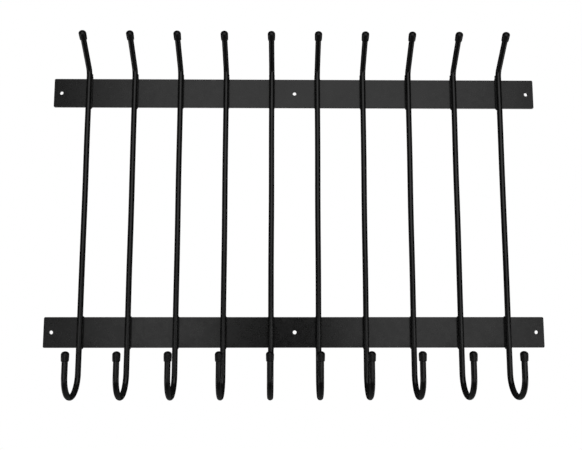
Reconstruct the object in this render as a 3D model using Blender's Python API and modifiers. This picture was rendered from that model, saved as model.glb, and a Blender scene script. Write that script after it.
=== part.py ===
"""Wall-hung garden tool rack: two flat bars, ten bent rods with pegs and hooks, weld beads and end caps.

Units are metres, +Z is up, and the front of the rack faces -Y. The wall is the plane y = 0, and the
origin is the middle screw hole of the upper bar, on that plane.
"""

from math import cos, pi, radians, sin, tan

import bmesh
import bpy
from mathutils import Matrix

# Flat bars
BAR_LENGTH = 0.8382
BAR_HEIGHT = 0.0508
BAR_THICKNESS = 0.00476
BAR_SPACING = 0.41275
BAR_EDGE_ROUND = 0.001

# Screw holes: one at each end of a bar and one in the middle
HOLE_DIAMETER = 0.00635
HOLE_END_MARGIN = 0.0127

# Round rods, evenly spaced between the two end margins
ROD_COUNT = 10
ROD_DIAMETER = 0.009525
ROD_END_MARGIN = 0.0619

# Peg: the rod's upper end, bent forward. Its corner is where the two straight centre lines would meet.
PEG_LEAN = radians(45)
PEG_CORNER_HEIGHT = 0.0117
PEG_BEND_RADIUS = 0.016
PEG_LENGTH = 0.0685

# Hook: the rod's lower end, a half circle and a straight tip
HOOK_DROP = 0.0405
HOOK_RADIUS = 0.0349
HOOK_TIP_LENGTH = 0.0343

# Soft end caps: a thin cup with a domed end, pushed on until the rod meets the start of the dome
CAP_LENGTH = 0.0159
CAP_WALL = 0.0012
CAP_END_WALL = 0.0016
CAP_DOME_HEIGHT = 0.0052

# Weld beads: a seam in the grooves beside a rod, swelling to a toe on each edge of the bar, behind the rod
WELD_TOE_WIDTH = 0.0015
WELD_TOE_HEIGHT = 0.0055
WELD_TOE_DEPTH = 0.0042
WELD_TOE_POWER = 1.7
WELD_SEAM_WIDTH = 0.0006
WELD_SEAM_DEPTH = 0.0020

# Gaps between neighbouring pieces, and how far a cutter runs past what it cuts
SEAT_GAP = 0.0003
CAP_GAP = 0.0004
CUT_PAST = 0.005

# Facets
ROD_BEVEL_RESOLUTION = 4
PEG_BEND_STEPS = 3
HOOK_STEPS = 12
CAP_STEPS = 12
DOME_STEPS = 4
BORE_DOME_STEPS = 2
HOLE_SIDES = 20
CUTTER_SIDES = 12
WELD_SIDES = 10
WELD_RINGS = 6
EDGE_ROUND_SEGMENTS = 2
SMOOTH_ANGLE = radians(35)
MERGE_DISTANCE = 1e-5

# Places that follow from the sizes above
ROD_RADIUS = ROD_DIAMETER / 2
ROD_PITCH = (BAR_LENGTH - 2 * ROD_END_MARGIN) / (ROD_COUNT - 1)
ROD_Y = -(BAR_THICKNESS + SEAT_GAP + ROD_RADIUS)
HOOK_TOP_Z = -BAR_SPACING - BAR_HEIGHT / 2 - HOOK_DROP
PEG_CORNER_Z = BAR_HEIGHT / 2 + PEG_CORNER_HEIGHT
PEG_END_Y = ROD_Y - PEG_LENGTH * sin(PEG_LEAN)
PEG_END_Z = PEG_CORNER_Z + PEG_LENGTH * cos(PEG_LEAN)
HOOK_TIP_Y = ROD_Y - 2 * HOOK_RADIUS
HOOK_TIP_Z = HOOK_TOP_Z + HOOK_TIP_LENGTH
BAR_CENTRES = {"upper": 0.0, "lower": -BAR_SPACING}
ROD_XS = [ROD_PITCH * (i - (ROD_COUNT - 1) / 2) for i in range(ROD_COUNT)]


def clear_scene():
    for obj in list(bpy.data.objects):
        bpy.data.objects.remove(obj, do_unlink=True)


def new_collection(name):
    collection = bpy.data.collections.new(name)
    bpy.context.scene.collection.children.link(collection)
    return collection


def new_material(name, colour, roughness, metallic):
    material = bpy.data.materials.new(name)
    material.use_nodes = True
    shader = material.node_tree.nodes["Principled BSDF"]
    shader.inputs["Base Color"].default_value = (*colour, 1.0)
    shader.inputs["Roughness"].default_value = roughness
    shader.inputs["Metallic"].default_value = metallic
    return material


def new_object(name, data, collection, parent=None, location=(0, 0, 0), lean=0.0):
    obj = bpy.data.objects.new(name, data)
    collection.objects.link(obj)
    obj.parent = parent
    obj.location = location
    obj.rotation_euler = (lean, 0, 0)
    return obj


def new_cutter(name, mesh, location=(0, 0, 0)):
    cutter = new_object(name, mesh, cutters, location=location)
    cutter.hide_render = True
    cutter.display_type = "WIRE"
    return cutter


def combine(obj, other, operation):
    modifier = obj.modifiers.new(other.name, "BOOLEAN")
    modifier.operation = operation
    modifier.object = other


def box_mesh(name, size):
    mesh = bpy.data.meshes.new(name)
    shape = bmesh.new()
    bmesh.ops.create_cube(shape, size=1.0, matrix=Matrix.Diagonal((*size, 1.0)))
    shape.to_mesh(mesh)
    shape.free()
    return mesh


def cylinder_mesh(name, radius, length, sides, axis):
    mesh = bpy.data.meshes.new(name)
    shape = bmesh.new()
    turn = Matrix.Rotation(pi / 2, 4, "X") if axis == "Y" else Matrix.Identity(4)
    bmesh.ops.create_cone(
        shape, cap_ends=True, segments=sides, radius1=radius, radius2=radius, depth=length, matrix=turn
    )
    shape.to_mesh(mesh)
    shape.free()
    return mesh


def evaluated_mesh(obj, name):
    """A closed mesh of the object as its modifiers leave it, in world space."""
    bpy.context.view_layer.update()
    graph = bpy.context.evaluated_depsgraph_get()
    mesh = bpy.data.meshes.new_from_object(obj.evaluated_get(graph))
    mesh.name = name
    mesh.transform(obj.matrix_world)
    shape = bmesh.new()
    shape.from_mesh(mesh)
    bmesh.ops.remove_doubles(shape, verts=shape.verts, dist=MERGE_DISTANCE)
    bmesh.ops.recalc_face_normals(shape, faces=shape.faces)
    shape.to_mesh(mesh)
    shape.free()
    return mesh


def rod_path():
    """(y, z) of the rod's centre line, from the peg's end to the hook's tip."""
    bend_y = ROD_Y - PEG_BEND_RADIUS
    bend_z = PEG_CORNER_Z - PEG_BEND_RADIUS * tan(PEG_LEAN / 2)
    path = [(PEG_END_Y, PEG_END_Z)]
    for i in range(PEG_BEND_STEPS + 1):
        angle = PEG_LEAN * (1 - i / PEG_BEND_STEPS)
        path.append((bend_y + PEG_BEND_RADIUS * cos(angle), bend_z + PEG_BEND_RADIUS * sin(angle)))
    for i in range(HOOK_STEPS + 1):
        angle = -pi * i / HOOK_STEPS
        path.append((ROD_Y - HOOK_RADIUS + HOOK_RADIUS * cos(angle), HOOK_TOP_Z + HOOK_RADIUS * sin(angle)))
    path.append((HOOK_TIP_Y, HOOK_TIP_Z))
    return path


def rod_curve():
    curve = bpy.data.curves.new("rod", "CURVE")
    curve.dimensions = "3D"
    curve.bevel_depth = ROD_RADIUS
    curve.bevel_resolution = ROD_BEVEL_RESOLUTION
    curve.use_fill_caps = True
    path = rod_path()
    spline = curve.splines.new("POLY")
    spline.points.add(len(path) - 1)
    for point, (y, z) in zip(spline.points, path):
        point.co = (0, y, z, 1)
    curve.materials.append(coat)
    return curve


def dome_arc(radius, base, height, steps):
    """(x, z) of a dome's half section, from its top on the axis down to its base."""
    arc = [(0.0, base + height)]
    for i in range(1, steps + 1):
        angle = pi / 2 * (1 - i / steps)
        arc.append((radius * cos(angle), base + height * sin(angle)))
    return arc


def cap_profile():
    """Half section of a cap: down the outside of its dome and wall, round the mouth and up the blind bore.

    Its origin is on the axis, at the rod's end.
    """
    bore_radius = ROD_RADIUS + CAP_GAP
    outer_radius = bore_radius + CAP_WALL
    mouth = SEAT_GAP + CAP_DOME_HEIGHT - CAP_LENGTH
    outside = dome_arc(outer_radius, SEAT_GAP, CAP_DOME_HEIGHT, DOME_STEPS)
    bore = dome_arc(bore_radius, SEAT_GAP, CAP_DOME_HEIGHT - CAP_END_WALL, BORE_DOME_STEPS)
    return outside + [(outer_radius, mouth), (bore_radius, mouth)] + bore[::-1]


def cap_mesh():
    mesh = bpy.data.meshes.new("cap_profile")
    shape = bmesh.new()
    points = [shape.verts.new((x, 0, z)) for x, z in cap_profile()]
    for first, second in zip(points, points[1:]):
        shape.edges.new((first, second))
    shape.to_mesh(mesh)
    shape.free()
    mesh.materials.append(vinyl)
    return mesh


def add_cap(name, profile_mesh, x, y, z, lean):
    cap = new_object(name, profile_mesh, parts, rack, (x, y, z), lean)
    turning = cap.modifiers.new("turned", "SCREW")
    turning.steps = CAP_STEPS
    turning.render_steps = CAP_STEPS
    turning.use_merge_vertices = True
    turning.merge_threshold = MERGE_DISTANCE
    turning.use_smooth_shade = True


def hole_cutter(bar_name, index, x, z):
    mesh = cylinder_mesh("screw_hole", HOLE_DIAMETER / 2, BAR_THICKNESS + 2 * CUT_PAST, HOLE_SIDES, "Y")
    return new_cutter(f"{bar_name}_hole_{index}", mesh, (x, -BAR_THICKNESS / 2, z))


def add_bar(name, centre_z):
    mesh = box_mesh(name, (BAR_LENGTH, BAR_THICKNESS, BAR_HEIGHT))
    mesh.materials.append(coat)
    bar = new_object(name, mesh, parts, rack, (0, -BAR_THICKNESS / 2, centre_z))
    rounding = bar.modifiers.new("rolled_edges", "BEVEL")
    rounding.width = BAR_EDGE_ROUND
    rounding.segments = EDGE_ROUND_SEGMENTS
    end_hole = BAR_LENGTH / 2 - HOLE_END_MARGIN
    for index, x in enumerate((-end_hole, 0.0, end_hole), 1):
        combine(bar, hole_cutter(name, index, x, centre_z), "DIFFERENCE")


def weld_toe_mesh():
    """A rounded lump that thins out towards its ends: a ball drawn in between its axes."""
    mesh = bpy.data.meshes.new("weld_toe")
    shape = bmesh.new()
    bmesh.ops.create_uvsphere(shape, u_segments=WELD_SIDES, v_segments=WELD_RINGS, radius=1.0)
    for vert in shape.verts:
        vert.co /= sum(abs(side) ** WELD_TOE_POWER for side in vert.co) ** (1 / WELD_TOE_POWER)
    size = (ROD_RADIUS + WELD_TOE_WIDTH, WELD_TOE_DEPTH, WELD_TOE_HEIGHT, 1.0)
    bmesh.ops.transform(shape, matrix=Matrix.Diagonal(size), verts=shape.verts)
    shape.to_mesh(mesh)
    shape.free()
    return mesh


def weld_mesh():
    """One bead about a bar's centre line: seam and toes joined, then cut clear of the rod and of the bar."""
    face_y = -BAR_THICKNESS
    seam_mesh = cylinder_mesh("weld_bead", 1.0, BAR_HEIGHT + WELD_TOE_HEIGHT, WELD_SIDES, "Z")
    seam_mesh.transform(Matrix.Diagonal((ROD_RADIUS + WELD_SEAM_WIDTH, WELD_SEAM_DEPTH, 1.0, 1.0)))
    bead = new_cutter("weld_bead", seam_mesh, (0, face_y, 0))
    toe_mesh = weld_toe_mesh()
    for edge, edge_z in (("top", BAR_HEIGHT / 2), ("bottom", -BAR_HEIGHT / 2)):
        combine(bead, new_cutter(f"weld_toe_{edge}", toe_mesh, (0, face_y, edge_z)), "UNION")
    rod_size = (ROD_RADIUS + SEAT_GAP) / cos(pi / CUTTER_SIDES)
    rod_length = BAR_HEIGHT + 2 * (WELD_TOE_HEIGHT + CUT_PAST)
    rod_cut = cylinder_mesh("weld_rod_cut", rod_size, rod_length, CUTTER_SIDES, "Z")
    combine(bead, new_cutter("weld_rod_cut", rod_cut, (0, ROD_Y, 0)), "DIFFERENCE")
    bar_width = 2 * (ROD_RADIUS + WELD_TOE_WIDTH + CUT_PAST)
    bar_size = (bar_width, BAR_THICKNESS + 2 * SEAT_GAP, BAR_HEIGHT + 2 * SEAT_GAP)
    bar_cut = box_mesh("weld_bar_cut", bar_size)
    combine(bead, new_cutter("weld_bar_cut", bar_cut, (0, -BAR_THICKNESS / 2, 0)), "DIFFERENCE")
    mesh = evaluated_mesh(bead, "weld_bead")
    mesh.shade_smooth()
    mesh.set_sharp_from_angle(angle=SMOOTH_ANGLE)
    mesh.materials.append(coat)
    return mesh


clear_scene()
parts = new_collection("garden_tool_rack")
cutters = new_collection("cutters")
coat = new_material("black_powder_coat", (0.022, 0.022, 0.023), 0.42, 0.0)
vinyl = new_material("black_vinyl", (0.012, 0.012, 0.012), 0.5, 0.0)
rack = new_object("rack", None, parts)

for level, bar_z in BAR_CENTRES.items():
    add_bar(f"{level}_bar", bar_z)

rod_data = rod_curve()
cap_data = cap_mesh()
weld_data = weld_mesh()
for number, rod_x in enumerate(ROD_XS, 1):
    new_object(f"rod_{number:02d}", rod_data, parts, rack, (rod_x, 0, 0))
    add_cap(f"peg_cap_{number:02d}", cap_data, rod_x, PEG_END_Y, PEG_END_Z, PEG_LEAN)
    add_cap(f"hook_cap_{number:02d}", cap_data, rod_x, HOOK_TIP_Y, HOOK_TIP_Z, 0.0)
    for level, bar_z in BAR_CENTRES.items():
        new_object(f"weld_{level}_{number:02d}", weld_data, parts, rack, (rod_x, 0, bar_z))
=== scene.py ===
"""Looks of the wall-hung garden tool rack: fine pieces over its frame, finishes, studio and camera.

Units are metres, +Z is up and the front faces -Y, as in the frame.
"""

from collections import namedtuple
from math import cos, pi, radians, sin, tan
from random import Random

import bmesh
import bpy
from mathutils import Matrix, Vector


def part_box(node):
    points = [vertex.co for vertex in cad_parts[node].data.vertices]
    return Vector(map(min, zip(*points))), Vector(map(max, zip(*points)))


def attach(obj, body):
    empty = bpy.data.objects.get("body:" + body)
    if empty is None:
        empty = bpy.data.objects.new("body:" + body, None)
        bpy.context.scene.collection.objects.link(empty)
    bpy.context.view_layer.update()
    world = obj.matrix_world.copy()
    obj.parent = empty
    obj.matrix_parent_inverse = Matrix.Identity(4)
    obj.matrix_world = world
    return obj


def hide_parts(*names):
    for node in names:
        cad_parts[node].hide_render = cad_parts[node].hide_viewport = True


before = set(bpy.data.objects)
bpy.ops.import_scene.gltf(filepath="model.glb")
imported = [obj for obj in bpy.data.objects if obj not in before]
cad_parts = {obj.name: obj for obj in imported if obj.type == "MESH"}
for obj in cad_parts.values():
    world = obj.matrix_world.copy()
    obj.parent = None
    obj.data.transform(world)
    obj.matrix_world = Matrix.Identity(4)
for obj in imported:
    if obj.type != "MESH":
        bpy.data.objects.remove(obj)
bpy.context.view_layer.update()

SEED = 7
MERGE_DISTANCE = 1e-6

# Flat bars, with the edges and hole rims that the coat leaves softly rounded
HOLE_DIAMETER = 0.00635
HOLE_END_MARGIN = 0.0127
BAR_EDGE_ROUND = 0.001
BAR_CORNER_ROUND = 0.0023
BAR_ROUND_STEPS = 3
CORNER_STEPS = 6
HOLE_STEPS = 48

# Round rods: bends are pressed a little flat, and the long run wanders off straight by a hair, in waves
# that are counted in x and in y
ROD_COUNT = 10
PEG_LEAN = radians(45)
PEG_BEND_RADIUS = 0.016
BEND_FLATTENING = 0.035
BEND_RAMP = 0.25
ROD_WANDER = 0.00018
WANDER_WAVES = (2, 3)
ROD_END_CHAMFER = 0.0006
ROD_SHARP_ANGLE = radians(35)
END_FACE_MARGIN = 0.0003
ROD_SIDES = 32
ROD_RUN_STEPS = 40
PEG_RUN_STEPS = 6
PEG_BEND_STEPS = 14
HOOK_STEPS = 48
TIP_RUN_STEPS = 4

# Soft vinyl caps: waves run round the lip, with lower ripples on them
CAP_WALL = 0.0012
CAP_END_WALL = 0.0016
CAP_DOME_HEIGHT = 0.0052
CAP_DOME_EASE = 0.0001
CAP_GAP = 0.0003
CAP_DRAW_IN = 0.0004
CAP_LIP_ROUND = 0.00045
LIP_WAVE_HEIGHT = 0.00016
LIP_WAVES = 2
LIP_RIPPLES = 3
LIP_RIPPLE_SHARE = 0.5
CAP_STEPS = 48
DOME_STEPS = 14
WALL_STEPS = 10
LIP_STEPS = 4

# Weld beads: drops laid along both grooves beside a rod, and a toe of drops behind it on each edge of the
# bar. A toe's size, by bar and edge, is how far it climbs past the edge and how deep it lies on the edge,
# from the bar's face.
SEAM_PITCH = 0.0017
SEAM_RADIUS = 0.0016
SEAM_TUCK = 0.0011
SEAM_STAND = 0.0002
TOE_SIZES = {
    ("upper", 1): (0.0088, 0.0044),
    ("upper", -1): (0.0034, 0.0040),
    ("lower", 1): (0.0014, 0.0030),
    ("lower", -1): (0.0022, 0.0034),
}
TOE_PITCH = 0.0016
TOE_RADIUS = 0.0015
TOE_STAND = 0.0004
TOE_COLUMNS = 5
TOE_TAPER = 1.5
DROP_JITTER = 0.07
DROP_SUBDIVISIONS = 2
WELD_VOXEL = 0.00032
WELD_SMOOTHING = 3
WELD_FACE_SHARE = 0.4

# Textures: a noise is its scale and detail, and a bump is its strength and distance.
# Powder coat has orange peel under a fine grain, and dipped vinyl has flow marks under a fine skin.
Texture = namedtuple("Texture", "mottling gloss coarse coarse_bump fine fine_bump")
POWDER_COAT = Texture(
    mottling=(26, 4),
    gloss=(120, 4),
    coarse=(620, 2),
    coarse_bump=(0.22, 0.0002),
    fine=(3600, 2),
    fine_bump=(0.16, 0.00006),
)
VINYL = Texture(
    mottling=(140, 3),
    gloss=(300, 3),
    coarse=(260, 2),
    coarse_bump=(0.25, 0.0003),
    fine=(2600, 3),
    fine_bump=(0.14, 0.00006),
)
NOISE_RANGE = (0.3, 0.7)

# Finishes by slot: texture, darkest and lightest tone, least and greatest roughness, and refractive index
FINISHES = {
    "bar_coat": (POWDER_COAT, (0.0045, 0.0075), (0.25, 0.33), 1.5),
    # rod_coat and weld_coat are the same powder coat as bar_coat. Their darker tones are painted shade,
    # which darkens the rods and the welds in the grooves beside them.
    "rod_coat": (POWDER_COAT, (0.003, 0.0055), (0.16, 0.23), 1.47),
    "weld_coat": (POWDER_COAT, (0.003, 0.0055), (0.28, 0.38), 1.45),
    "cap_vinyl": (VINYL, (0.002, 0.004), (0.32, 0.44), 1.42),
}

# Camera at the photograph's view: pitch and yaw in radians, and the lens in millimetres on a 36 mm sensor
CAMERA_PLACE = (-0.0185, -1.1365, -0.3739)
CAMERA_PITCH = 0.125
CAMERA_YAW = -0.0109
CAMERA_LENS = 41.35

# Floor: a disc that fades out from a distance to its rim
FLOOR_Z = -1.75
FLOOR_RADIUS = 3.6
FLOOR_FADE_START = 2.2
FLOOR_STEPS = 96
FLOOR_COLOUR = (0.82, 0.82, 0.81, 1.0)
FLOOR_ROUGHNESS = 0.9

# World: its strength where it is seen, and where it only lights
WHITE = (1.0, 1.0, 1.0, 1.0)
WORLD_SEEN = 1.0
WORLD_FILL = 0.7

# Lamps: place, width, height and watts, all aimed at one spot
LAMP_AIM = (0, 0, -0.2)
LAMPS = {
    "key": ((0.9, -2.2, 1.6), 2.2, 1.4, 14),
    "fill": ((-1.6, -2.0, 1.2), 1.6, 1.4, 7),
    "back": ((0.0, 1.8, 1.6), 2.4, 1.4, 12),
}

# Flags: cards from black to nearly white that only reflections see. Near ones give bars, rods and hooks
# their light and dark stretches, and far ones keep the rods' sides dark. On the left and on the right,
# three bands stand one above another.
FLAG_ROUGHNESS = 1.0
LEFT_ENDS = ((-0.77, -1.5), (-0.92, -0.4))
RIGHT_ENDS = ((0.99, -1.4), (1.1, -0.4))
RIGHT_LOW_ENDS = ((1.04, -1.4), (1.1, -0.4))
FLAG_TOP = 1.4
FLAG_FOOT = -0.95
LOW_BAND = (-0.56, -0.42)
TOP_BAND = (LOW_BAND[1], FLAG_TOP)
FOOT_BAND = (FLAG_FOOT, LOW_BAND[0])
# An upright flag is the (x, y) of its two ends, its foot, its top and its tone
UPRIGHT_FLAGS = {
    "left_flag": (*LEFT_ENDS, *TOP_BAND, 0.01),
    "left_low_flag": (*LEFT_ENDS, *LOW_BAND, 0.43),
    "left_foot_flag": (*LEFT_ENDS, *FOOT_BAND, 0.01),
    "right_flag": (*RIGHT_ENDS, *TOP_BAND, 0.01),
    "right_low_flag": (*RIGHT_LOW_ENDS, *LOW_BAND, 0.95),
    "right_foot_flag": (*RIGHT_ENDS, *FOOT_BAND, 0.01),
    "camera_flag": ((-0.177, -0.7), (0.132, -0.7), -0.72, -0.2, 0.01),
    "hook_flag": ((-0.65, 0.3), (0.65, 0.3), -0.75, -0.54, 0.02),
    "far_left_flag": ((-5.0, -3.2), (-5.0, 7.0), -1.2, 8.0, 0.01),
    "far_right_flag": ((5.0, -3.2), (5.0, 7.0), -1.2, 8.0, 0.01),
    "far_back_flag": ((-5.0, 7.0), (5.0, 7.0), -1.4, 9.0, 0.02),
}
# A level flag is the (x, y) of two opposite corners, its height and its tone
LEVEL_FLAGS = {
    "low_flag": ((-1.2, -1.0), (1.2, -0.28), FLAG_FOOT, 0.02),
    "under_flag": ((-1.2, -0.28), (1.2, 0.9), FLAG_FOOT, 0.16),
    "front_flag": ((-0.9, -2.2), (0.9, -1.0), FLAG_FOOT, 0.65),
    "top_flag": ((-1.3, -1.3), (1.3, 2.0), FLAG_TOP, 0.03),
}

# What the frame's own boxes give
bar_boxes = {level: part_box(f"{level}_bar") for level in ("upper", "lower")}
upper_low, upper_high = bar_boxes["upper"]
BAR_LENGTH = upper_high.x - upper_low.x
BAR_HEIGHT = upper_high.z - upper_low.z
BAR_THICKNESS = upper_high.y - upper_low.y
BAR_FRONT_Y = upper_low.y
rod_low, rod_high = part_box("rod_01")
ROD_RADIUS = (rod_high.x - rod_low.x) / 2
ROD_Y = rod_high.y - ROD_RADIUS
cap_low, cap_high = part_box("hook_cap_01")
CAP_RADIUS = (cap_high.x - cap_low.x) / 2
CAP_LENGTH = cap_high.z - cap_low.z
HOOK_TIP_Y = (cap_low.y + cap_high.y) / 2
HOOK_TIP_Z = cap_high.z - CAP_DOME_HEIGHT - CAP_GAP
HOOK_RADIUS = (ROD_Y - HOOK_TIP_Y) / 2
HOOK_TOP_Z = rod_low.z + ROD_RADIUS + HOOK_RADIUS


def peg_end():
    """(y, z) of the middle of the face at a rod's upper end, which leans and so has some depth."""
    depth = 2 * ROD_RADIUS * sin(PEG_LEAN) + END_FACE_MARGIN
    face = [v.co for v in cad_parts["rod_01"].data.vertices if v.co.z > rod_high.z - depth]
    ys = [co.y for co in face]
    zs = [co.z for co in face]
    return (min(ys) + max(ys)) / 2, (min(zs) + max(zs)) / 2


PEG_END_Y, PEG_END_Z = peg_end()
PEG_CORNER_Z = PEG_END_Z - (ROD_Y - PEG_END_Y) / tan(PEG_LEAN)


def new_object(name, data):
    obj = bpy.data.objects.new(name, data)
    bpy.context.scene.collection.objects.link(obj)
    return obj


def new_mesh(shape, name):
    """A mesh of a bmesh, which is used up."""
    mesh = bpy.data.meshes.new(name)
    shape.to_mesh(mesh)
    shape.free()
    return mesh


def smooth_mesh(shape, name):
    """A smooth-shaded mesh of a closed bmesh, with its faces pointing out."""
    bmesh.ops.recalc_face_normals(shape, faces=shape.faces)
    mesh = new_mesh(shape, name)
    mesh.shade_smooth()
    return mesh


def evaluated_mesh(obj, name):
    """The object's mesh as its modifiers leave it, with the object itself removed."""
    bpy.context.view_layer.update()
    graph = bpy.context.evaluated_depsgraph_get()
    mesh = bpy.data.meshes.new_from_object(obj.evaluated_get(graph))
    mesh.name = name
    mesh.transform(obj.matrix_world)
    bpy.data.objects.remove(obj, do_unlink=True)
    return mesh


def add_piece(node, ending, mesh, slot, finishes):
    """A piece that stands for one node of the frame and is named for it."""
    mesh.materials.append(finishes[slot])
    piece = new_object(f"{node}_{ending}", mesh)
    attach(piece, "root")
    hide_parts(node)
    return piece


# Flat bars

def arc(centre_x, centre_y, radius, start, end, steps):
    """Points round a centre from one angle to another, both included."""
    points = []
    for i in range(steps + 1):
        angle = start + (end - start) * i / steps
        points.append((centre_x + radius * cos(angle), centre_y + radius * sin(angle)))
    return points


def add_loop(curve, points):
    spline = curve.splines.new("POLY")
    spline.points.add(len(points) - 1)
    for point, (x, y) in zip(spline.points, points):
        point.co = (x, y, 0, 1)
    spline.use_cyclic_u = True


def bar_outline():
    """A bar's outline about its middle, with round corners."""
    half_length = BAR_LENGTH / 2 - BAR_CORNER_ROUND
    half_height = BAR_HEIGHT / 2 - BAR_CORNER_ROUND
    outline = []
    for quarter, (side_x, side_y) in enumerate(((1, 1), (-1, 1), (-1, -1), (1, -1))):
        start = quarter * pi / 2
        centre = (side_x * half_length, side_y * half_height)
        outline += arc(*centre, BAR_CORNER_ROUND, start, start + pi / 2, CORNER_STEPS)
    return outline


def bar_mesh(level):
    """A flat bar with rounded edges and three screw holes, drawn flat and stood up behind the rods."""
    low, high = bar_boxes[level]
    curve = bpy.data.curves.new("bar_outline", "CURVE")
    curve.dimensions = "2D"
    curve.fill_mode = "BOTH"
    curve.extrude = BAR_THICKNESS / 2 - BAR_EDGE_ROUND
    curve.bevel_depth = BAR_EDGE_ROUND
    curve.bevel_resolution = BAR_ROUND_STEPS
    curve.offset = -BAR_EDGE_ROUND
    add_loop(curve, bar_outline())
    end_hole = BAR_LENGTH / 2 - HOLE_END_MARGIN
    for x in (-end_hole, 0.0, end_hole):
        add_loop(curve, arc(x, 0.0, HOLE_DIAMETER / 2, 0.0, 2 * pi, HOLE_STEPS)[:-1])
    bar = new_object("bar_outline", curve)
    bar.location = (low + high) / 2
    bar.rotation_euler = (pi / 2, 0, 0)
    shape = bmesh.new()
    shape.from_mesh(evaluated_mesh(bar, "bar_outline"))
    bmesh.ops.remove_doubles(shape, verts=shape.verts, dist=MERGE_DISTANCE)
    return smooth_mesh(shape, f"{level}_bar")


# Round rods

# A place along a rod: its centre, the angle of its outer side in the (y, z) plane, and its depth into a
# bend, from 0 to 1
Station = namedtuple("Station", "y z side depth")


def straight_run(start, end, side, steps):
    """Stations of a straight run, without its end."""
    stations = []
    for i in range(steps):
        share = i / steps
        y, z = (a + (b - a) * share for a, b in zip(start, end))
        stations.append(Station(y, z, side, 0.0))
    return stations


def bend_run(centre, radius, start, end, steps):
    """Stations of a bend without its end, from one angle to another about its centre."""
    stations = []
    for i in range(steps):
        share = i / steps
        angle = start + (end - start) * share
        depth = min(1.0, share / BEND_RAMP, (1 - share) / BEND_RAMP)
        y = centre[0] + radius * cos(angle)
        z = centre[1] + radius * sin(angle)
        stations.append(Station(y, z, angle, depth))
    return stations


def rod_stations():
    """Stations down one rod, from the peg's end to the hook's tip."""
    trim = PEG_BEND_RADIUS * tan(PEG_LEAN / 2)
    bend_start = (ROD_Y - trim * sin(PEG_LEAN), PEG_CORNER_Z + trim * cos(PEG_LEAN))
    bend_centre = (ROD_Y - PEG_BEND_RADIUS, PEG_CORNER_Z - trim)
    hook_centre = (ROD_Y - HOOK_RADIUS, HOOK_TOP_Z)
    run_top = (ROD_Y, bend_centre[1])
    run_foot = (ROD_Y, HOOK_TOP_Z)
    tip_foot = (HOOK_TIP_Y, HOOK_TOP_Z)
    tip = (HOOK_TIP_Y, HOOK_TIP_Z)
    stations = straight_run((PEG_END_Y, PEG_END_Z), bend_start, PEG_LEAN, PEG_RUN_STEPS)
    stations += bend_run(bend_centre, PEG_BEND_RADIUS, PEG_LEAN, 0.0, PEG_BEND_STEPS)
    stations += straight_run(run_top, run_foot, 0.0, ROD_RUN_STEPS)
    stations += bend_run(hook_centre, HOOK_RADIUS, 0.0, -pi, HOOK_STEPS)
    stations += straight_run(tip_foot, tip, -pi, TIP_RUN_STEPS)
    return stations + [Station(*tip, -pi, 0.0)]


def rod_wander(z, phases):
    """How far the long run is off straight at a height: nothing at its two ends."""
    share = min(1.0, max(0.0, (PEG_CORNER_Z - z) / (PEG_CORNER_Z - HOOK_TOP_Z)))
    size = ROD_WANDER * sin(pi * share)
    x, y = (size * sin(2 * pi * waves * share + phase) for waves, phase in zip(WANDER_WAVES, phases))
    return Vector((x, y, 0))


def rod_ring(shape, rod_x, station, wander):
    """A rod's section at a station: in a bend it is less deep, and half as much wider."""
    deep = ROD_RADIUS * (1 - BEND_FLATTENING * station.depth)
    wide = ROD_RADIUS * (1 + BEND_FLATTENING * station.depth / 2)
    outward = Vector((0, cos(station.side), sin(station.side)))
    centre = Vector((rod_x, station.y, station.z)) + wander
    ring = []
    for i in range(ROD_SIDES):
        turn = 2 * pi * i / ROD_SIDES
        across = Vector((wide * sin(turn), 0, 0))
        ring.append(shape.verts.new(centre + outward * deep * cos(turn) + across))
    return ring


def rod_mesh(rod_x, random):
    """One bent rod: rings at its stations, skinned over, with chamfered ends."""
    shape = bmesh.new()
    phases = [random.uniform(0, 2 * pi) for _ in WANDER_WAVES]
    rings = []
    for station in rod_stations():
        on_run = station.side == 0.0
        wander = rod_wander(station.z, phases) if on_run else Vector()
        rings.append(rod_ring(shape, rod_x, station, wander))
    for ring, after in zip(rings, rings[1:]):
        for i in range(ROD_SIDES):
            j = (i + 1) % ROD_SIDES
            shape.faces.new((ring[i], ring[j], after[j], after[i]))
    ends = [shape.faces.new(rings[0]), shape.faces.new(rings[-1])]
    end_edges = [edge for face in ends for edge in face.edges]
    bmesh.ops.bevel(shape, geom=end_edges, offset=ROD_END_CHAMFER, segments=1, affect="EDGES")
    mesh = smooth_mesh(shape, "rod")
    mesh.set_sharp_from_angle(angle=ROD_SHARP_ANGLE)
    return mesh


# Vinyl caps

def dome(radius, height):
    """(radius, height) along half a dome's section, from its foot up to its top."""
    points = []
    for i in range(DOME_STEPS + 1):
        angle = pi / 2 * i / DOME_STEPS
        points.append((radius * cos(angle), CAP_GAP + height * sin(angle)))
    return points


def cap_profile():
    """Half section of a cap from the top of its dome down the outside, round the lip and up the bore.

    Its origin is on the axis, at the rod's end.
    """
    bore = CAP_RADIUS - CAP_WALL
    lip_z = CAP_GAP + CAP_DOME_HEIGHT - CAP_LENGTH + CAP_LIP_ROUND
    profile = dome(CAP_RADIUS, CAP_DOME_HEIGHT - CAP_DOME_EASE)[::-1]
    for i in range(1, WALL_STEPS):
        share = i / WALL_STEPS
        profile.append((CAP_RADIUS - CAP_DRAW_IN * share ** 2, CAP_GAP + (lip_z - CAP_GAP) * share))
    outer_lip = CAP_RADIUS - CAP_DRAW_IN - CAP_LIP_ROUND
    profile += arc(outer_lip, lip_z, CAP_LIP_ROUND, 0.0, -pi / 2, LIP_STEPS)
    profile += arc(bore + CAP_LIP_ROUND, lip_z, CAP_LIP_ROUND, -pi / 2, -pi, LIP_STEPS)
    return profile + dome(bore, CAP_DOME_HEIGHT - CAP_END_WALL)


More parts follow.
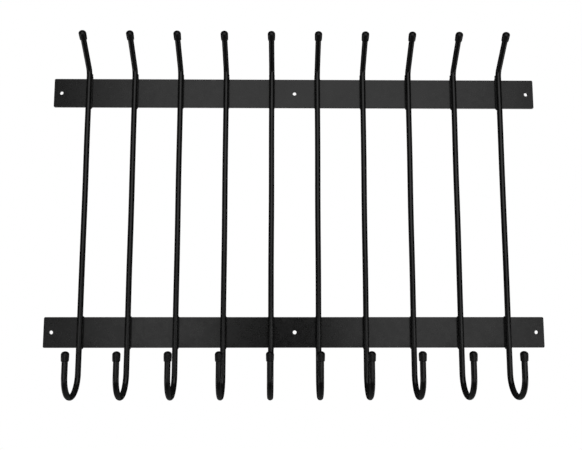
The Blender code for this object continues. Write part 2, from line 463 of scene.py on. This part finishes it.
def cap_mesh(place, lean, random):
    """A cap turned from its profile, with a wavy lip, put over a rod's end."""
    shape = bmesh.new()
    line = [shape.verts.new((x, 0, z)) for x, z in cap_profile()]
    edges = [shape.edges.new(pair) for pair in zip(line, line[1:])]
    bmesh.ops.spin(
        shape,
        geom=line + edges,
        axis=(0, 0, 1),
        cent=(0, 0, 0),
        angle=2 * pi,
        steps=CAP_STEPS,
        use_merge=True,
    )
    bmesh.ops.remove_doubles(shape, verts=shape.verts, dist=MERGE_DISTANCE)
    phase = random.uniform(0, 2 * pi)
    for vert in shape.verts:
        below = max(0.0, (CAP_GAP - vert.co.z) / CAP_LENGTH)
        turn = Vector((vert.co.x, vert.co.y)).angle_signed(Vector((1, 0)), 0.0)
        wave = 1 + sin(LIP_WAVES * turn + phase) + LIP_RIPPLE_SHARE * sin(LIP_RIPPLES * turn - phase)
        vert.co.z += LIP_WAVE_HEIGHT * below * wave
    spot = Matrix.Translation(place) @ Matrix.Rotation(lean, 4, "X")
    bmesh.ops.transform(shape, matrix=spot, verts=shape.verts)
    return smooth_mesh(shape, "cap")


# Weld beads

def seam_drops():
    """(x, y, z, radius) of the drops in both grooves, with x from the rod's middle and z from the bar's."""
    drops = []
    count = int(BAR_HEIGHT / SEAM_PITCH)
    for side in (-1, 1):
        for i in range(count + 1):
            z = BAR_HEIGHT * (i / count - 0.5)
            drops.append((side * (ROD_RADIUS - SEAM_TUCK), BAR_FRONT_Y - SEAM_STAND, z, SEAM_RADIUS))
    return drops


def toe_drops(edge, height, depth):
    """The same for a toe: layers that get shallower as they climb the back of the rod."""
    drops = []
    half_width = ROD_RADIUS + TOE_STAND - TOE_RADIUS
    climb = height - TOE_RADIUS
    layers = max(1, round(climb / TOE_PITCH))
    for i in range(layers + 1):
        past = climb * i / layers
        reach = (depth - TOE_RADIUS) * (1 - i / layers) ** TOE_TAPER
        rows = round(reach / TOE_PITCH)
        for j in range(rows + 1):
            y = BAR_FRONT_Y + reach * j / max(1, rows)
            for column in range(TOE_COLUMNS):
                x = half_width * (2 * column / (TOE_COLUMNS - 1) - 1)
                drops.append((x, y, edge * (BAR_HEIGHT / 2 + past), TOE_RADIUS))
    return drops


def weld_mesh(rod_x, level, random):
    """Drops run together into one skin."""
    low, high = bar_boxes[level]
    bar_z = (low.z + high.z) / 2
    drops = seam_drops()
    for edge in (1, -1):
        drops += toe_drops(edge, *TOE_SIZES[level, edge])
    shape = bmesh.new()
    for x, y, z, radius in drops:
        spot = Matrix.Translation((rod_x + x, y, bar_z + z))
        size = radius * (1 + DROP_JITTER * random.uniform(-1, 1))
        bmesh.ops.create_icosphere(shape, subdivisions=DROP_SUBDIVISIONS, radius=size, matrix=spot)
    bead = new_object("bead", smooth_mesh(shape, "bead"))
    skin = bead.modifiers.new("skin", "REMESH")
    skin.mode = "VOXEL"
    skin.voxel_size = WELD_VOXEL
    smoothing = bead.modifiers.new("smoothing", "SMOOTH")
    smoothing.iterations = WELD_SMOOTHING
    fewer = bead.modifiers.new("fewer_faces", "DECIMATE")
    fewer.ratio = WELD_FACE_SHARE
    mesh = evaluated_mesh(bead, "weld")
    mesh.shade_smooth()
    return mesh


# Finishes

def grey(tone):
    return (tone, tone, tone, 1.0)


def new_material(name):
    material = bpy.data.materials.new(name)
    material.use_nodes = True
    return material, material.node_tree.nodes["Principled BSDF"]


def noise(tree, place, scale, detail):
    node = tree.nodes.new("ShaderNodeTexNoise")
    node.inputs["Scale"].default_value = scale
    node.inputs["Detail"].default_value = detail
    tree.links.new(place, node.inputs["Vector"])
    return node.outputs["Fac"]


def map_range(tree, value, source, target):
    """A node that carries a value from one range over to another."""
    node = tree.nodes.new("ShaderNodeMapRange")
    for end, number in zip(("From Min", "From Max", "To Min", "To Max"), (*source, *target)):
        node.inputs[end].default_value = number
    tree.links.new(value, node.inputs["Value"])
    return node


def shades(tree, value, tones):
    """Greys from a dark tone to a light one by a noise value."""
    node = tree.nodes.new("ShaderNodeValToRGB")
    for element, place, tone in zip(node.color_ramp.elements, NOISE_RANGE, tones):
        element.position = place
        element.color = grey(tone)
    tree.links.new(value, node.inputs["Fac"])
    return node.outputs["Color"]


def bump(tree, height, strength, distance, under=None):
    node = tree.nodes.new("ShaderNodeBump")
    node.inputs["Strength"].default_value = strength
    node.inputs["Distance"].default_value = distance
    tree.links.new(height, node.inputs["Height"])
    if under is not None:
        tree.links.new(under, node.inputs["Normal"])
    return node.outputs["Normal"]


def black_finish(name, texture, tones, roughness, ior):
    """A black finish with faint mottling, uneven gloss, and fine bumps on top of coarse ones."""
    material, shader = new_material(name)
    tree = material.node_tree
    place = tree.nodes.new("ShaderNodeTexCoord").outputs["Object"]
    tone = shades(tree, noise(tree, place, *texture.mottling), tones)
    gloss = map_range(tree, noise(tree, place, *texture.gloss), NOISE_RANGE, roughness)
    coarse = bump(tree, noise(tree, place, *texture.coarse), *texture.coarse_bump)
    fine = bump(tree, noise(tree, place, *texture.fine), *texture.fine_bump, under=coarse)
    tree.links.new(tone, shader.inputs["Base Color"])
    tree.links.new(gloss.outputs["Result"], shader.inputs["Roughness"])
    tree.links.new(fine, shader.inputs["Normal"])
    shader.inputs["IOR"].default_value = ior
    return material


# The rack itself

def add_rack():
    random = Random(SEED)
    finishes = {slot: black_finish(slot, *values) for slot, values in FINISHES.items()}
    for level in bar_boxes:
        bar = add_piece(f"{level}_bar", "coated", bar_mesh(level), "bar_coat", finishes)
        flat = bar.modifiers.new("flat_faces", "WEIGHTED_NORMAL")
        flat.keep_sharp = True
    for number in (f"{i:02d}" for i in range(1, ROD_COUNT + 1)):
        low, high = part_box(f"rod_{number}")
        rod_x = (low.x + high.x) / 2
        peg = Vector((rod_x, PEG_END_Y, PEG_END_Z))
        tip = Vector((rod_x, HOOK_TIP_Y, HOOK_TIP_Z))
        add_piece(f"rod_{number}", "coated", rod_mesh(rod_x, random), "rod_coat", finishes)
        add_piece(f"peg_cap_{number}", "vinyl", cap_mesh(peg, PEG_LEAN, random), "cap_vinyl", finishes)
        add_piece(f"hook_cap_{number}", "vinyl", cap_mesh(tip, 0.0, random), "cap_vinyl", finishes)
        for level in bar_boxes:
            bead = weld_mesh(rod_x, level, random)
            add_piece(f"weld_{level}_{number}", "bead", bead, "weld_coat", finishes)


# Studio

def add_floor():
    """A pale disc well below the rack, which fades out towards its rim."""
    shape = bmesh.new()
    bmesh.ops.create_circle(shape, cap_ends=True, segments=FLOOR_STEPS, radius=FLOOR_RADIUS)
    mesh = new_mesh(shape, "floor")
    material, shader = new_material("pale_floor")
    shader.inputs["Base Color"].default_value = FLOOR_COLOUR
    shader.inputs["Roughness"].default_value = FLOOR_ROUGHNESS
    tree = material.node_tree
    place = tree.nodes.new("ShaderNodeTexCoord").outputs["Object"]
    reach = tree.nodes.new("ShaderNodeVectorMath")
    reach.operation = "LENGTH"
    tree.links.new(place, reach.inputs[0])
    fade = map_range(tree, reach.outputs["Value"], (FLOOR_FADE_START, FLOOR_RADIUS), (1.0, 0.0))
    fade.interpolation_type = "SMOOTHSTEP"
    tree.links.new(fade.outputs["Result"], shader.inputs["Alpha"])
    mesh.materials.append(material)
    floor = new_object("floor", mesh)
    floor.location = (0, 0, FLOOR_Z)


def add_flag(name, corners, tone):
    """A grey card that only reflections see."""
    shape = bmesh.new()
    shape.faces.new([shape.verts.new(corner) for corner in corners])
    mesh = new_mesh(shape, name)
    material, shader = new_material(f"{name}_card")
    shader.inputs["Base Color"].default_value = grey(tone)
    shader.inputs["Roughness"].default_value = FLAG_ROUGHNESS
    mesh.materials.append(material)
    flag = new_object(name, mesh)
    flag.visible_camera = False
    flag.visible_diffuse = False
    flag.visible_shadow = False


def add_flags():
    for name, (start, end, foot, top, tone) in UPRIGHT_FLAGS.items():
        add_flag(name, [(*start, foot), (*end, foot), (*end, top), (*start, top)], tone)
    for name, ((left, front), (right, back), height, tone) in LEVEL_FLAGS.items():
        plan = [(left, front), (right, front), (right, back), (left, back)]
        add_flag(name, [(*point, height) for point in plan], tone)


def add_lamps():
    """Soft lamps that aren't seen themselves, not even in gloss."""
    for name, (place, width, height, watts) in LAMPS.items():
        light = bpy.data.lights.new(name, "AREA")
        light.shape = "RECTANGLE"
        light.size = width
        light.size_y = height
        light.energy = watts
        lamp = new_object(name, light)
        lamp.location = place
        lamp.rotation_euler = (Vector(LAMP_AIM) - Vector(place)).to_track_quat("-Z", "Y").to_euler()
        lamp.visible_camera = False
        lamp.visible_glossy = False


def background(tree, strength):
    node = tree.nodes.new("ShaderNodeBackground")
    node.inputs["Color"].default_value = WHITE
    node.inputs["Strength"].default_value = strength
    return node.outputs["Background"]


def add_world():
    """White wherever a camera, glossy or transmission ray ends, and a soft fill for the rest."""
    world = bpy.data.worlds.new("studio")
    bpy.context.scene.world = world
    world.use_nodes = True
    tree = world.node_tree
    tree.nodes.clear()
    rays = tree.nodes.new("ShaderNodeLightPath")
    seen = rays.outputs["Is Camera Ray"]
    for ray in ("Is Glossy Ray", "Is Transmission Ray"):
        either = tree.nodes.new("ShaderNodeMath")
        either.operation = "MAXIMUM"
        tree.links.new(seen, either.inputs[0])
        tree.links.new(rays.outputs[ray], either.inputs[1])
        seen = either.outputs["Value"]
    mix = tree.nodes.new("ShaderNodeMixShader")
    tree.links.new(seen, mix.inputs["Fac"])
    tree.links.new(background(tree, WORLD_FILL), mix.inputs[1])
    tree.links.new(background(tree, WORLD_SEEN), mix.inputs[2])
    out = tree.nodes.new("ShaderNodeOutputWorld")
    tree.links.new(mix.outputs["Shader"], out.inputs["Surface"])


def add_camera():
    data = bpy.data.cameras.new("camera")
    data.lens = CAMERA_LENS
    camera = new_object("camera", data)
    camera.location = CAMERA_PLACE
    camera.rotation_euler = (pi / 2 + CAMERA_PITCH, 0, CAMERA_YAW)
    bpy.context.scene.camera = camera


add_rack()
add_floor()
add_flags()
add_lamps()
add_world()
add_camera()
bpy.context.scene.view_settings.view_transform = "Standard"
